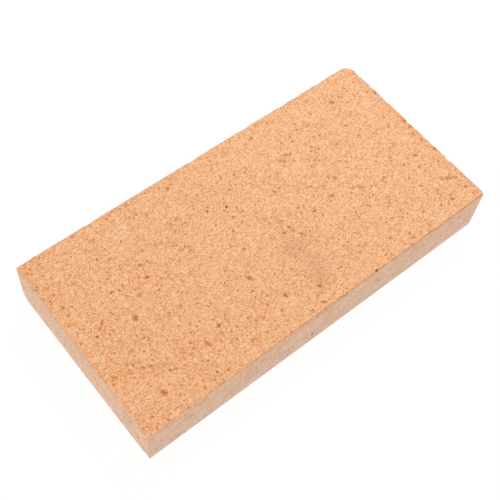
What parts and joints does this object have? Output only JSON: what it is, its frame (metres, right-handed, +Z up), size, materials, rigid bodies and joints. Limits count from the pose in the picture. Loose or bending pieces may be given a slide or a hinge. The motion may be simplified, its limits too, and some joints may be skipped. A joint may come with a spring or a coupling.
{
  "type": "firebrick",
  "caption": "Thin rectangular firebrick of speckled fired fireclay, with flat bed faces, smoother sides, worn corners and one ragged end arris.",
  "frame": {"origin": "centre of the bed face that the brick lies on", "axes": "+X along the length, +Y across the width, +Z up through the thickness"},
  "size_m": [0.23, 0.114, 0.032],
  "materials": {
    "fired_clay": "matte, grainy unglazed fired clay"
  },
  "bodies": {
    "root": {"firebrick": "fired_clay"}
  },
  "joints": []
}
